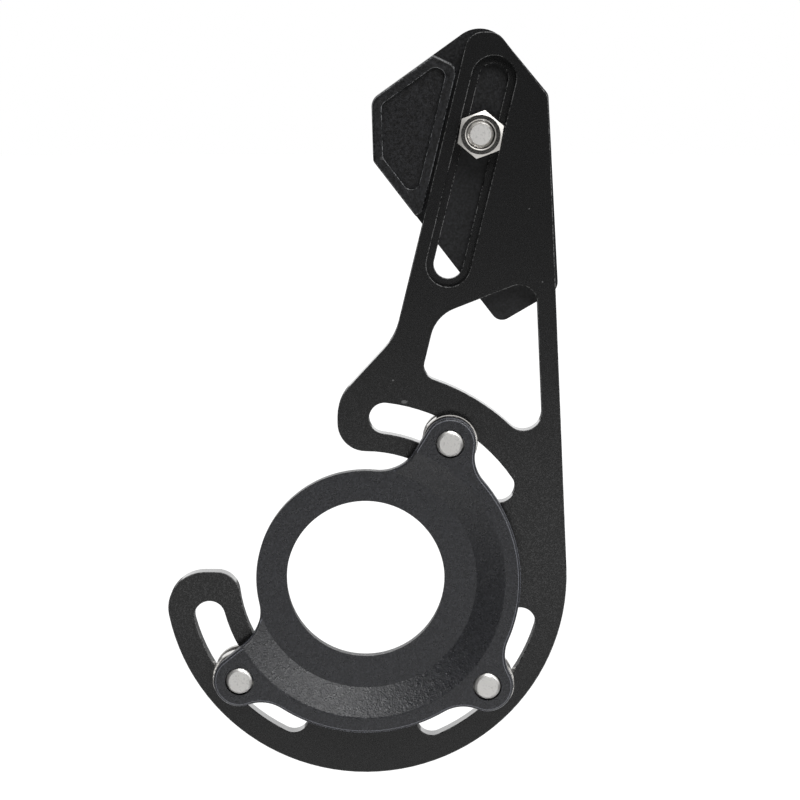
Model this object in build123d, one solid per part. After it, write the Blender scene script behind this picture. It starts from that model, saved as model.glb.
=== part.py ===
from build123d import *
import os
from math import acos, atan2, cos, degrees, radians, sin, sqrt, tan

# Bicycle chain guide: a back plate turns on a bottom bracket adapter and carries a two-part sliding guide.
# Origin on the crank axis, on the face that seats on the bottom bracket shell.
# +X to the rear, +Y outboard and away from the frame, +Z up. Millimetres and degrees.
# "Near" faces look at the bicycle frame (-Y) and "far" faces look outboard (+Y).

# Bottom bracket adapter, a pressed bowl with three ears
bore_diameter = 35.6
adapter_sheet = 2.5
ring_width = 6.85
cone_set_back = 0.4
cone_run = 6.35
bend_round = 1.0
ear_step = 3.5
flange_width = 3.45
bolt_circle_diameter = 73.0
ear_angles = (58.8, -41.2, -141.2)
ear_radius = 5.85
neck_fillet = 8.4
adapter_edge_chamfer = 0.6

# M6 screws that hold the plate on the ears, with spacer rings between
screw_diameter = 6.0
screw_length = 10.0
screw_tip_chamfer = 0.6
thread_clearance = 0.2
head_diameter = 12.0
head_height = 3.3
head_rim = 1.6
head_flat_diameter = 8.0
socket_width = 4.0
socket_depth = 2.0
spacer_diameter = 12.4
spacer_thickness = 3.0
spacer_hole_clearance = 0.2
spacer_seat_clearance = 0.3

# Back plate round the crank axis
plate_thickness = 4.0
plate_edge_chamfer = 0.15
arc_slot_clearance = 0.5
arc_slot_half_span = 24.4
slot_outer_rim = 5.45
slot_inner_rim = 4.25
hook_end_height = 1.1
hook_outer_round = 8.3
hook_inner_round = 5.15
lug_end_rim = 7.1
lug_top_rim = 7.2
lug_lean = 42.5
lug_shoulder_round = 9.9
lug_foot_round = 6.35

# Arm of the back plate, with the long slot that leans to the rear
slot_foot = (18.53, 70.75)
slot_lean = 13.55
slot_travel = 42.45
bolt_clearance = 0.25
nut_recess_clearance = 0.25
nut_recess_depth = 2.0
arm_left_margin = 7.75
waist_round = 12.85
arm_right_lean = 2.7
crown_margin = 10.1
crown_round = 4.0
brow_lean = 38.5
brow_margin = 6.9
shoulder_round = 2.45

# Window in the arm
window_web = 7.5
window_right_wall = 4.15
window_top_lean = 21.4
window_top_margin = 11.76
window_left_round = 8.4
window_corner_round = 4.15
window_foot_round = 3.25

# Two-part chain guide, its outline given from the bolt hole
guide_bolt_height = 29.79
guide_half_thickness = 3.0
chain_gap = 9.0
guide_crown = (1.1, 25.55, 6.9)
guide_front_top = (-24.1, 7.5, 2.95)
guide_front_low = (-23.7, -6.05, 1.5)
guide_foot = (4.5, -42.5, 2.55)
guide_heel = (17.7, -34.8, 2.95)
guide_brow = (15.2, 8.65, 2.45)
guide_edge_round = 0.6

# Raised flange of the inner half, which runs along the plate's left edge as a key
key_clearance = 0.6
flange_drop = 0.7
flange_top = 13.35
flange_top_slope = 24.0
flange_top_round = 2.5
flange_low = -19.8
flange_low_slope = 30.0
pocket_rim = 2.2
pocket_depth = 1.2
pocket_round = 1.8
pocket_edge_chamfer = 0.15

# Outer half, cored from inside round a boss for the bolt
outer_inset = 2.2
outer_corner_round = 3.0
bridge_drop = 10.5
wall_thickness = 2.4
boss_diameter = 12.5
head_recess_clearance = 0.5
outer_edge_chamfer = 1.2
lead_in = 0.8
panel_rim = 3.0
panel_depth = 0.8

# M6 bolt and hexagon nut of the guide
bolt_diameter = 6.0
bolt_length = 20.0
nut_width = 9.4
nut_face_diameter = 8.7
nut_height = 5.0
nut_turn = -4.0
nut_tip_recess = 0.4
nut_corner_slope = 30.0
nut_countersink = 0.25

# Limits that pick out faces and edges, not sizes of the object
position_tolerance = 0.001
steepest_cone = 60.0

# Sizes that follow from the ones above
bore_radius = bore_diameter / 2
ring_radius = bore_radius + ring_width
flange_radius = ring_radius + cone_set_back + cone_run + flange_width
bolt_circle_radius = bolt_circle_diameter / 2
ear_near = -ear_step
ear_far = ear_near + adapter_sheet
plate_near = ear_far + spacer_thickness
plate_far = plate_near + plate_thickness
arc_slot_radius = screw_diameter / 2 + arc_slot_clearance
plate_outer_radius = bolt_circle_radius + arc_slot_radius + slot_outer_rim
plate_inner_radius = bolt_circle_radius - arc_slot_radius - slot_inner_rim
window_inner_radius = bolt_circle_radius + arc_slot_radius + window_web
long_slot_radius = bolt_diameter / 2 + bolt_clearance
nut_recess_radius = nut_width / 2 + nut_recess_clearance
nut_far = plate_near + nut_recess_depth
nut_near = nut_far - nut_height
guide_inner_far = plate_far + guide_half_thickness
guide_outer_near = guide_inner_far + chain_gap
guide_outer_far = guide_outer_near + guide_half_thickness
bolt_seat = nut_near + nut_tip_recess + bolt_length
flange_near = plate_near + flange_drop
guide_corners = (guide_crown, guide_front_top, guide_front_low, guide_foot, guide_heel, guide_brow)
guide_span = 2 * (guide_crown[1] - guide_foot[1])


def slab(shape, near, far):
    """Raise a flat shape, drawn in X and Z, into a solid between two depths."""
    return extrude(Plane.XZ.offset(-far) * shape, far - near)


def polar(radius, angle):
    """Point at a radius and an angle about the crank axis."""
    return (radius * cos(radians(angle)), radius * sin(radians(angle)))


def along_slot(along, across=0.0):
    """Point in X and Z, measured up the long slot from its lower end and across it to the rear."""
    lean = radians(slot_lean)
    return (slot_foot[0] + along * sin(lean) + across * cos(lean),
            slot_foot[1] + along * cos(lean) - across * sin(lean))


def crossing(point_a, direction_a, point_b, direction_b):
    """Point where two lines meet, each given by a point and a direction angle from +X."""
    ax, az = cos(radians(direction_a)), sin(radians(direction_a))
    bx, bz = cos(radians(direction_b)), sin(radians(direction_b))
    dx, dz = point_b[0] - point_a[0], point_b[1] - point_a[1]
    reach = (dx * bz - dz * bx) / (ax * bz - az * bx)
    return (point_a[0] + reach * ax, point_a[1] + reach * az)


def rounded(shape, corners):
    """Round the corners of a flat shape that lie nearest to the given points."""
    for point, radius in corners:
        nearest = shape.vertices().sort_by_distance((point[0], point[1], 0))[0]
        shape = fillet(nearest, radius)
    return shape


def hole(point, radius, near, far):
    """Round hole cutter along Y."""
    return slab(Pos(*point) * Circle(radius), near, far)


def edges_at(body, depth):
    """Edges that lie flat at one depth."""
    return body.edges().filter_by_position(Axis.Y, depth - position_tolerance, depth + position_tolerance)


def socket_screw(diameter, length):
    """Low head screw along Y with its head's underside at the origin and its tip towards -Y."""
    radius = diameter / 2
    head_radius = head_diameter / 2
    flat_radius = head_flat_diameter / 2
    side = Polygon((0, head_height), (0, -length), (radius - screw_tip_chamfer, -length),
                   (radius, screw_tip_chamfer - length), (radius, 0), (head_radius, 0),
                   (head_radius, head_rim), (flat_radius, head_height), align=None)
    turned = revolve(side, Axis.Y)
    key = RegularPolygon(socket_width / 2, 6, major_radius=False)
    return turned - slab(key, head_height - socket_depth, head_height)


def ear_plan(first, last):
    """Flat shape of one ear along +X, with its necks; the outer side of an end ear runs into the ring."""
    plan = Rectangle(bolt_circle_radius, 2 * ear_radius, align=(Align.MIN, Align.CENTER))
    plan += Pos(bolt_circle_radius, 0) * Circle(ear_radius)
    for side in (1, -1):
        if (first and side > 0) or (last and side < 0):
            reach = sqrt((ring_radius + neck_fillet) ** 2 - (ear_radius + neck_fillet) ** 2)
            centre = (reach, side * (ear_radius + neck_fillet))
            corners = [(0, 0), (reach, 0), centre]
        else:
            outer = flange_radius + neck_fillet
            swing = acos((bolt_circle_radius ** 2 + outer ** 2 - (ear_radius + neck_fillet) ** 2)
                         / (2 * bolt_circle_radius * outer))
            centre = (outer * cos(swing), side * outer * sin(swing))
            corners = [(0, 0), (bolt_circle_radius, 0), centre]
        plan += Polygon(*corners[::side], align=None) - Pos(*centre) * Circle(neck_fillet)
    return plan


def bb_adapter():
    """Ring that seats on the bottom bracket shell, with a cone and flange that step back to three ears."""
    bend = adapter_sheet * tan(atan2(ear_step, cone_run) / 2)
    reach = bolt_circle_radius + 2 * ear_radius
    cone_start = ring_radius + cone_set_back
    cone_end = cone_start + cone_run
    bends = [(cone_start, 0), (cone_end, ear_near),
             (cone_end + bend, ear_far), (cone_start + bend, adapter_sheet)]
    section = Polygon((0, 0), bends[0], bends[1], (reach, ear_near), (reach, ear_far), bends[2], bends[3],
                      (0, adapter_sheet), align=None)
    section = rounded(section, [(bends[1], bend_round)])
    bowl = revolve(section, Axis.Y)
    start, end = ear_angles[-1], ear_angles[0]
    fan = make_face(Line((0, 0), polar(flange_radius, start))
                    + CenterArc((0, 0), flange_radius, start, end - start)
                    + Line(polar(flange_radius, end), (0, 0)))
    plan = Circle(ring_radius) + fan
    for number, angle in enumerate(ear_angles):
        plan += Rot(0, 0, angle) * ear_plan(number == 0, number == len(ear_angles) - 1)
    body = slab(plan, ear_near, adapter_sheet) & bowl
    walls = body.faces().filter_by(lambda face: abs(face.normal_at().Y) < position_tolerance)
    near = body.faces().filter_by(lambda face: face.normal_at().Y < -cos(radians(steepest_cone)))
    dished = near.filter_by(lambda face: face.center().Y < -position_tolerance)
    body = chamfer(walls.edges() & dished.edges(), adapter_edge_chamfer)
    body -= hole((0, 0), bore_radius, 0, adapter_sheet)
    tap_radius = screw_diameter / 2 + thread_clearance
    seat_radius = spacer_diameter / 2 + spacer_seat_clearance
    for angle in ear_angles:
        ear = polar(bolt_circle_radius, angle)
        body -= hole(ear, tap_radius, ear_near, ear_far)
        body -= hole(ear, seat_radius, ear_far, adapter_sheet)
    return body


def arm_corners():
    """Corners of the back plate's outline, from the foot of its right edge over the crown to the lug."""
    foot = polar(plate_outer_radius, arm_right_lean)
    slot_top = along_slot(slot_travel)
    crown_level = slot_top[1] + crown_margin
    brow_direction = 90 + brow_lean
    brow_point = (slot_top[0] + brow_margin * cos(radians(brow_lean)),
                  slot_top[1] + brow_margin * sin(radians(brow_lean)))
    left_point = along_slot(0, -arm_left_margin)
    slot_direction = 90 - slot_lean
    shoulder = crossing(foot, 90 + arm_right_lean, brow_point, brow_direction)
    crown_right = crossing(brow_point, brow_direction, (0, crown_level), 0)
    crown_left = crossing(left_point, slot_direction, (0, crown_level), 0)
    slot_end = polar(bolt_circle_radius, ear_angles[0] + arc_slot_half_span)
    lug_offset = arc_slot_radius + lug_top_rim
    lug_point = (slot_end[0] - lug_offset * cos(radians(lug_lean)),
                 slot_end[1] + lug_offset * sin(radians(lug_lean)))
    lug_edge = slot_end[0] - arc_slot_radius - lug_end_rim
    waist = crossing(left_point, slot_direction, lug_point, 90 - lug_lean)
    lug_top = crossing(lug_point, 90 - lug_lean, (lug_edge, 0), 90)
    lug_foot = (lug_edge, sqrt(plate_inner_radius ** 2 - lug_edge ** 2))
    return foot, shoulder, crown_right, crown_left, waist, lug_top, lug_foot


def plate_outline():
    """Outline of the back plate: arm, lug, open ring round the crank axis and hook."""
    foot, shoulder, crown_right, crown_left, waist, lug_top, lug_foot = arm_corners()
    lug_angle = degrees(atan2(lug_foot[1], lug_foot[0]))
    hook_inner = (-sqrt(plate_inner_radius ** 2 - hook_end_height ** 2), hook_end_height)
    hook_outer = (-sqrt(plate_outer_radius ** 2 - hook_end_height ** 2), hook_end_height)
    inner_angle = degrees(atan2(hook_inner[1], hook_inner[0]))
    outer_angle = degrees(atan2(hook_outer[1], hook_outer[0]))
    outline = make_face(
        Line(foot, shoulder) + Line(shoulder, crown_right) + Line(crown_right, crown_left)
        + Line(crown_left, waist) + Line(waist, lug_top) + Line(lug_top, lug_foot)
        + CenterArc((0, 0), plate_inner_radius, lug_angle, inner_angle - 360 - lug_angle)
        + Line(hook_inner, hook_outer)
        + CenterArc((0, 0), plate_outer_radius, outer_angle, 360 + arm_right_lean - outer_angle))
    return rounded(outline, [
        (shoulder, shoulder_round), (crown_right, crown_round), (crown_left, crown_round),
        (waist, waist_round), (lug_top, lug_shoulder_round), (lug_foot, lug_foot_round),
        (hook_inner, hook_inner_round), (hook_outer, hook_outer_round)])


def window_outline():
    """Window of the arm: left side in line with the long slot, foot concentric with the crank axis."""
    slot_direction = 90 - slot_lean
    top_point = along_slot(-window_top_margin)
    right_point = polar(plate_outer_radius - window_right_wall, arm_right_lean)
    right_direction = 90 + arm_right_lean
    top_left = top_point
    top_right = crossing(top_point, window_top_lean, right_point, right_direction)
    lean = radians(slot_lean)
    across = slot_foot[0] * cos(lean) - slot_foot[1] * sin(lean)
    up = sqrt(window_inner_radius ** 2 - across ** 2)
    foot_left = (across * cos(lean) + up * sin(lean), up * cos(lean) - across * sin(lean))
    wall = plate_outer_radius - window_right_wall
    rise = sqrt(window_inner_radius ** 2 - wall ** 2)
    tilt = radians(arm_right_lean)
    foot_right = (wall * cos(tilt) - rise * sin(tilt), wall * sin(tilt) + rise * cos(tilt))
    left_angle = degrees(atan2(foot_left[1], foot_left[0]))
    right_angle = degrees(atan2(foot_right[1], foot_right[0]))
    outline = make_face(Line(foot_left, top_left) + Line(top_left, top_right) + Line(top_right, foot_right)
                        + CenterArc((0, 0), window_inner_radius, right_angle, left_angle - right_angle))
    return rounded(outline, [(top_left, window_left_round), (top_right, window_corner_round),
                             (foot_right, window_corner_round), (foot_left, window_foot_round)])


def long_slot(radius):
    """Straight slot of the arm, as wide as twice the radius."""
    middle = along_slot(slot_travel / 2)
    return Pos(*middle) * Rot(0, 0, 90 - slot_lean) * SlotCenterToCenter(slot_travel, 2 * radius)


def back_plate():
    """Flat plate that carries the guide."""
    body = slab(plate_outline(), plate_near, plate_far)
    body -= slab(window_outline(), plate_near, plate_far)
    for angle in ear_angles:
        span = CenterArc((0, 0), bolt_circle_radius, angle - arc_slot_half_span, 2 * arc_slot_half_span)
        body -= slab(SlotArc(span, 2 * arc_slot_radius), plate_near, plate_far)
    body -= slab(long_slot(long_slot_radius), plate_near, plate_far)
    body -= slab(long_slot(nut_recess_radius), plate_near, nut_far)
    far_face = body.faces().sort_by(Axis.Y)[-1]
    recess_floor = body.faces().filter_by(Axis.Y).sort_by(lambda face: abs(face.center().Y - nut_far))[0]
    broken = edges_at(body, plate_near) + far_face.outer_wire().edges()
    broken += recess_floor.inner_wires()[0].edges()
    return chamfer(broken, plate_edge_chamfer)


def guide_point(corner):
    """Corner of the guide in X and Z, from its offset to the bolt hole."""
    hole_point = along_slot(guide_bolt_height)
    return (hole_point[0] + corner[0], hole_point[1] + corner[1])


def guide_polygon():
    """Outline of the inner half with sharp corners, seen from the frame."""
    return make_face(Polyline(*[guide_point(corner) for corner in guide_corners], close=True))


def guide_outline():
    """Outline of the inner half."""
    return rounded(guide_polygon(), [(guide_point(corner), corner[2]) for corner in guide_corners])


def flange_field(low):
    """Field to the left of the plate's edge that the raised flange fills, down to a height along the slot."""
    top_corner = flange_corner()
    low_corner = along_slot(guide_bolt_height + low, -arm_left_margin - key_clearance)
    reach = -2 * guide_front_top[0]
    top_rise = reach * tan(radians(flange_top_slope))
    low_fall = reach * tan(radians(flange_low_slope))
    return Polygon(top_corner, (top_corner[0] - reach, top_corner[1] + top_rise),
                   (low_corner[0] - reach, low_corner[1] - low_fall), low_corner, align=None)


def flange_corner():
    """Upper corner of the raised flange, beside the plate's left edge."""
    return along_slot(guide_bolt_height + flange_top, -arm_left_margin - key_clearance)


def guide_inner():
    """Moulded half that lies on the plate's far face and keys on its left edge."""
    body = slab(guide_outline(), plate_far, guide_inner_far)
    flange = rounded(guide_outline() & flange_field(flange_low), [(flange_corner(), flange_top_round)])
    body += slab(flange, flange_near, guide_inner_far)
    pocket = offset(guide_polygon() & flange_field(2 * flange_low), -pocket_rim, kind=Kind.INTERSECTION)
    pocket = fillet(pocket.vertices(), pocket_round)
    body = fillet(edges_at(body, flange_near), guide_edge_round)
    body = chamfer(edges_at(body, guide_inner_far), lead_in)
    body -= slab(pocket, flange_near, flange_near + pocket_depth)
    flange_face = body.faces().sort_by(Axis.Y)[0]
    body = chamfer(flange_face.inner_wires()[0].edges(), pocket_edge_chamfer)
    body -= hole(along_slot(guide_bolt_height), long_slot_radius, plate_far, guide_inner_far)
    return body


def guide_outer():
    """Moulded half outboard of the chain, bridged to the inner half above the chain."""
    hole_point = along_slot(guide_bolt_height)
    polygon = offset(guide_polygon(), -outer_inset, kind=Kind.INTERSECTION)
    outline = fillet(polygon.vertices(), outer_corner_round)
    body = slab(outline, guide_outer_near, guide_outer_far)
    body = chamfer(edges_at(body, guide_outer_far), outer_edge_chamfer)
    body = chamfer(edges_at(body, guide_outer_near), lead_in)
    above_bridge = Rectangle(guide_span, guide_span, align=(Align.CENTER, Align.MIN))
    upper = Pos(hole_point[0], hole_point[1] - bridge_drop) * above_bridge
    bridge = outline & upper
    core = offset(polygon & upper, -wall_thickness, kind=Kind.INTERSECTION)
    core -= Pos(*hole_point) * Circle(boss_diameter / 2)
    body += slab(bridge - core, guide_inner_far, guide_outer_near + lead_in)
    panel = offset(polygon, -panel_rim, kind=Kind.INTERSECTION) - upper
    panel = fillet(panel.vertices(), pocket_round)
    body -= slab(panel, guide_outer_far - panel_depth, guide_outer_far)
    body -= hole(hole_point, long_slot_radius, guide_inner_far, guide_outer_far)
    body -= hole(hole_point, head_diameter / 2 + head_recess_clearance, bolt_seat, guide_outer_far)
    return body


def guide_nut():
    """Hexagon nut in the plate's recess."""
    prism = slab(RegularPolygon(nut_width / 2, 6, major_radius=False, rotation=30), -nut_height, 0)
    corner = nut_width / sqrt(3)
    face_radius = nut_face_diameter / 2
    drop = (corner - face_radius) * tan(radians(nut_corner_slope))
    turned = Polygon((0, 0), (face_radius, 0), (corner, -drop), (corner, drop - nut_height),
                     (face_radius, -nut_height), (0, -nut_height), align=None)
    body = prism & revolve(turned, Axis.Y)
    bore = bolt_diameter / 2 + thread_clearance
    body -= hole((0, 0), bore, -nut_height, 0)
    circles = body.edges().filter_by(GeomType.CIRCLE)
    mouths = circles.filter_by(lambda edge: abs(edge.radius - bore) < position_tolerance)
    body = chamfer(mouths, nut_countersink)
    point = along_slot(guide_bolt_height)
    return Pos(point[0], nut_far, point[1]) * Rot(0, slot_lean + nut_turn, 0) * body


def guide_bolt():
    """Bolt through both halves and the long slot into the nut."""
    point = along_slot(guide_bolt_height)
    return Pos(point[0], bolt_seat, point[1]) * socket_screw(bolt_diameter, bolt_length)


def adapter_screws():
    """Three screws with their heads on the plate's far face."""
    screw = socket_screw(screw_diameter, screw_length)
    places = [polar(bolt_circle_radius, angle) for angle in ear_angles]
    return [Pos(x, plate_far, z) * screw for x, z in places]


def spacer_rings():
    """Three rings that hold the plate off the ears."""
    hole_radius = screw_diameter / 2 + spacer_hole_clearance
    ring = slab(Circle(spacer_diameter / 2) - Circle(hole_radius), ear_far, plate_near)
    places = [polar(bolt_circle_radius, angle) for angle in ear_angles]
    return [Pos(x, 0, z) * ring for x, z in places]


nodes = {
    "bb_adapter": bb_adapter(),
    "adapter_screws": Compound(children=adapter_screws()),
    "spacer_rings": Compound(children=spacer_rings()),
    "back_plate": back_plate(),
    "guide_inner": guide_inner(),
    "guide_outer": guide_outer(),
    "guide_bolt": guide_bolt(),
    "guide_nut": guide_nut(),
}

os.makedirs("parts", exist_ok=True)
for name, shape in nodes.items():
    export_step(shape, os.path.join("parts", name + ".step"))
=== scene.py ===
"""Finishes, threaded screws and studio for a bicycle chain guide, built around its packed frame."""

import math

import bmesh
import bpy
from bpy.props import FloatProperty, FloatVectorProperty, IntProperty, PointerProperty
from mathutils import Matrix, Vector


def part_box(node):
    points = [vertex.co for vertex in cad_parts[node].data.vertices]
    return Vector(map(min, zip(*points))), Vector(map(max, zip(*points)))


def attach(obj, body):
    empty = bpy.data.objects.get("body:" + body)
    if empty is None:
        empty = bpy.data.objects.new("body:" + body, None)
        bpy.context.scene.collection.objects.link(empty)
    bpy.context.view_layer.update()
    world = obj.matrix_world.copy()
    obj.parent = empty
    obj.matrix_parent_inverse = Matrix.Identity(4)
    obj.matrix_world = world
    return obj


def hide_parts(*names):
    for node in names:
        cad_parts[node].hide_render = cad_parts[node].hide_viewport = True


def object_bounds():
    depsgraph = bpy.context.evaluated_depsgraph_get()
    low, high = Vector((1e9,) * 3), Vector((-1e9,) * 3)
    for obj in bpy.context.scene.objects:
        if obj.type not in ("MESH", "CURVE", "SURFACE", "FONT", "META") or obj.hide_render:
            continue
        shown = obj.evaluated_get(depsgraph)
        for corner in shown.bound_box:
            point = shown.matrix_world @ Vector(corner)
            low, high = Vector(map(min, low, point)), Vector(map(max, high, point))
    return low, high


bl_info = {
    "name": "Chain Guide Dresser",
    "version": (1, 0, 0),
    "blender": (4, 5, 0),
    "location": "3D View > Sidebar > Chain Guide",
    "description": "Dresses a bicycle chain guide with its finishes, screws and studio",
    "category": "Object",
}

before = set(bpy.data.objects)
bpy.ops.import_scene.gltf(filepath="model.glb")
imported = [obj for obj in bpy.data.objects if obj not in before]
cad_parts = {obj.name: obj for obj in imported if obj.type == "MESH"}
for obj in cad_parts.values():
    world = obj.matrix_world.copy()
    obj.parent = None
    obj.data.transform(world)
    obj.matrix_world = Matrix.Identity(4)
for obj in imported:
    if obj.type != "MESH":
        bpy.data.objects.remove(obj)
CAD_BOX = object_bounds()
MM = 0.001
IMAGE_SIDE = 800


# Sizes and colours that a user may change

class PlateFinish(bpy.types.PropertyGroup):
    """Black anodised finish of the back plate."""

    colour: FloatVectorProperty(
        name="Colour", description="Dyed oxide over the blasted face", subtype="COLOR",
        size=3, min=0.0, max=1.0, default=(0.0042, 0.0042, 0.0044))
    # Colour of the rubbed edges, partly thinner oxide and partly a painted highlight; also the colour of
    # the specks and the rub mark
    wear_and_highlight_colour: FloatVectorProperty(
        name="Edge wear and highlight colour", description="Thinner oxide along the broken edges", subtype="COLOR",
        size=3, min=0.0, max=1.0, default=(0.12, 0.12, 0.12))
    roughness: FloatProperty(
        name="Roughness", description="Roughness of the blasted face", subtype="FACTOR",
        min=0.0, max=1.0, default=0.27)
    wall_roughness: FloatProperty(
        name="Wall roughness", description="Roughness of the cut walls", subtype="FACTOR",
        min=0.0, max=1.0, default=0.22)
    grain: FloatProperty(
        name="Grain", description="Width of one dimple of the blasting", unit="LENGTH",
        min=0.00005, default=0.00032)
    dimple_depth: FloatProperty(
        name="Dimple depth", description="Depth of the blasting", unit="LENGTH",
        min=0.0, default=0.00005)
    wear: FloatProperty(
        name="Wear", description="Share of the broken edges that is rubbed", subtype="FACTOR",
        min=0.0, max=1.0, default=0.52)
    specks: FloatProperty(
        name="Specks", description="Share of the cells that hold a light speck", subtype="FACTOR",
        min=0.0, max=1.0, default=0.10)
    scuff_place: FloatVectorProperty(
        name="Scuff place", description="Rub mark above the upper arc slot", subtype="TRANSLATION",
        unit="LENGTH", size=3, default=(0.0087, 0.0020, 0.0400))
    scuff_reach: FloatVectorProperty(
        name="Scuff reach", description="Half sizes of the rub mark", subtype="TRANSLATION",
        unit="LENGTH", size=3, default=(0.0011, 0.0006, 0.0006))


class AdapterFinish(bpy.types.PropertyGroup):
    """Thick black coat of the bottom bracket adapter."""

    colour: FloatVectorProperty(
        name="Colour", description="Coat colour, a bluish black", subtype="COLOR",
        size=3, min=0.0, max=1.0, default=(0.0178, 0.0184, 0.0212))
    roughness: FloatProperty(
        name="Roughness", description="Roughness of the coat", subtype="FACTOR",
        min=0.0, max=1.0, default=0.30)
    peel: FloatProperty(
        name="Orange peel", description="Width of one swelling of the coat", unit="LENGTH",
        min=0.0001, default=0.0011)
    grit: FloatProperty(
        name="Grit", description="Width of one grain in the coat", unit="LENGTH",
        min=0.00005, default=0.00040)
    grit_depth: FloatProperty(
        name="Grit depth", description="Depth of the grain on the drawn slopes", unit="LENGTH",
        min=0.0, default=0.00020)
    specks: FloatProperty(
        name="Specks", description="Share of the cells that hold a light speck", subtype="FACTOR",
        min=0.0, max=1.0, default=0.08)


class NylonFinish(bpy.types.PropertyGroup):
    """Moulded nylon of the two guide halves."""

    colour: FloatVectorProperty(
        name="Colour", description="Black filled nylon", subtype="COLOR",
        size=3, min=0.0, max=1.0, default=(0.0026, 0.0027, 0.0031))
    # Colour of the rubbed edges, partly whitened skin and partly a painted highlight
    wear_and_highlight_colour: FloatVectorProperty(
        name="Edge wear and highlight colour", description="Whitened skin along rubbed edges", subtype="COLOR",
        size=3, min=0.0, max=1.0, default=(0.15, 0.152, 0.158))
    roughness: FloatProperty(
        name="Roughness", description="Roughness of the moulded skin", subtype="FACTOR",
        min=0.0, max=1.0, default=0.36)
    grain: FloatProperty(
        name="Grain", description="Width of one dimple of the mould texture", unit="LENGTH",
        min=0.00005, default=0.00050)
    dimple_depth: FloatProperty(
        name="Dimple depth", description="Depth of the mould texture", unit="LENGTH",
        min=0.0, default=0.00007)
    wear: FloatProperty(
        name="Wear", description="Share of the edges that is rubbed", subtype="FACTOR",
        min=0.0, max=1.0, default=0.52)
    rubbed_depth: FloatProperty(
        name="Rubbed depth", description="How far outboard the edges are rubbed", unit="LENGTH",
        default=0.008)


class SteelFinish(bpy.types.PropertyGroup):
    """Bright plate of the nut and the rings, and the dull plate of the screws."""

    colour: FloatVectorProperty(
        name="Bright colour", description="Polished plate", subtype="COLOR",
        size=3, min=0.0, max=1.0, default=(0.72, 0.70, 0.67))
    roughness: FloatProperty(
        name="Bright roughness", description="Roughness of the polished plate", subtype="FACTOR",
        min=0.0, max=1.0, default=0.12)
    nut_chamfer_roughness: FloatProperty(
        name="Nut chamfer roughness", description="Roughness of the nut's turned corners",
        subtype="FACTOR", min=0.0, max=1.0, default=0.55)
    flecks: FloatProperty(
        name="Bright flecks", description="Strength of the flecks in the polished plate",
        subtype="FACTOR", min=0.0, max=1.0, default=0.12)
    dull_colour: FloatVectorProperty(
        name="Dull colour", description="Zinc plate of the screws", subtype="COLOR",
        size=3, min=0.0, max=1.0, default=(0.72, 0.71, 0.69))
    dull_roughness: FloatProperty(
        name="Dull roughness", description="Roughness of the zinc plate", subtype="FACTOR",
        min=0.0, max=1.0, default=0.52)
    dull_chamfer_roughness: FloatProperty(
        name="Dull chamfer roughness", description="Roughness of the screws' chamfers",
        subtype="FACTOR", min=0.0, max=1.0, default=0.42)
    dull_flecks: FloatProperty(
        name="Dull flecks", description="Strength of the flecks in the zinc plate",
        subtype="FACTOR", min=0.0, max=1.0, default=0.25)


class FastenerSizes(bpy.types.PropertyGroup):
    """Standard sizes of the screws and of their places."""

    diameter: FloatProperty(
        name="Diameter", description="Thread over its crests", unit="LENGTH",
        min=0.001, default=0.006)
    pitch: FloatProperty(
        name="Pitch", description="Advance of the thread in one turn", unit="LENGTH",
        min=0.0002, default=0.001)
    thread_depth: FloatProperty(
        name="Thread depth", description="Height of the thread", unit="LENGTH",
        min=0.0, default=0.00055)
    tip_chamfer: FloatProperty(
        name="Tip chamfer", description="Chamfer of the screw end", unit="LENGTH",
        min=0.0, default=0.0007)
    head_diameter: FloatProperty(
        name="Head diameter", description="Low head over its rim", unit="LENGTH",
        min=0.002, default=0.012)
    head_height: FloatProperty(
        name="Head height", description="Height of the low head", unit="LENGTH",
        min=0.001, default=0.0033)
    head_rim: FloatProperty(
        name="Head rim", description="Upright part of the head", unit="LENGTH",
        min=0.0, default=0.0016)
    head_flat: FloatProperty(
        name="Head flat", description="Flat on top of the head", unit="LENGTH",
        min=0.001, default=0.008)
    seat_gap: FloatProperty(
        name="Seat gap", description="Hair of play under the head", unit="LENGTH",
        min=0.0, default=0.00002)
    socket_width: FloatProperty(
        name="Socket width", description="Hexagon socket across its flats", unit="LENGTH",
        min=0.001, default=0.004)
    socket_depth: FloatProperty(
        name="Socket depth", description="Depth of the hexagon socket", unit="LENGTH",
        min=0.0, default=0.002)
    ring_diameter: FloatProperty(
        name="Ring diameter", description="Spacer ring over its rim", unit="LENGTH",
        min=0.002, default=0.0124)
    ring_hole: FloatProperty(
        name="Ring hole", description="Hole of the spacer ring", unit="LENGTH",
        min=0.001, default=0.0064)
    ring_round: FloatProperty(
        name="Ring round", description="Round on the ring's outer edges", unit="LENGTH",
        min=0.0, default=0.00015)
    bolt_circle: FloatProperty(
        name="Bolt circle", description="Circle of the three ear screws", unit="LENGTH",
        min=0.01, default=0.073)
    first_angle: FloatProperty(
        name="First angle", description="Angle of the upper ear", subtype="ANGLE",
        default=math.radians(58.8))
    angle_step: FloatProperty(
        name="Angle step", description="Angle from one ear to the next", subtype="ANGLE",
        default=math.radians(-100.0))
    ears: IntProperty(
        name="Ears", description="Number of ear screws", min=1, default=3)


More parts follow.
